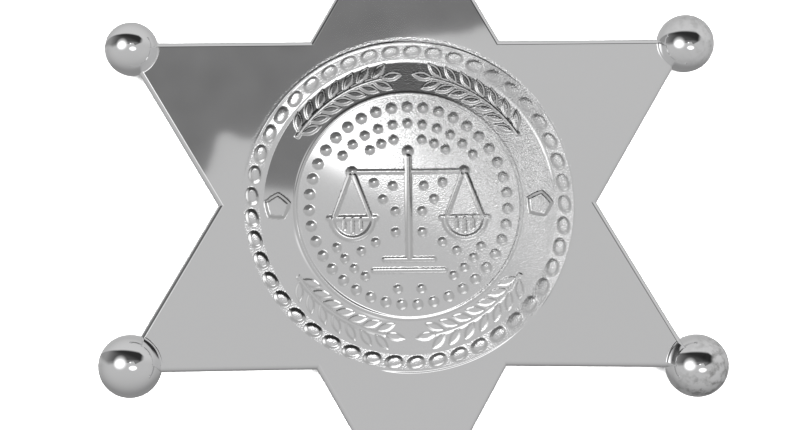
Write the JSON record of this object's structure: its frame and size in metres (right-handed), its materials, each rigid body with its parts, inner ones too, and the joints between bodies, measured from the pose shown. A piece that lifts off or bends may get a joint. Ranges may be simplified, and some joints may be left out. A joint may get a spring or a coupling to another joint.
{
  "type": "sheriff star badge",
  "caption": "Pressed metal star badge with ball tips and a round medallion of beads, leaves and dots in relief, with a plain pin clasp in its hollow back.",
  "frame": {"origin": "centre of the star in the plane of its rims, on which it lies", "axes": "+Z out of the front face, +Y towards the top point as worn, +X to the right seen from the front"},
  "size_m": [0.0639, 0.0724, 0.0053],
  "materials": {
    "plated_sheet": "bright plated sheet, lightly scuffed and grained in the relief",
    "plated_wire": "dull plated steel"
  },
  "bodies": {
    "root": {"star_shell": "plated_sheet", "pin_clasp": "plated_wire"}
  },
  "joints": []
}
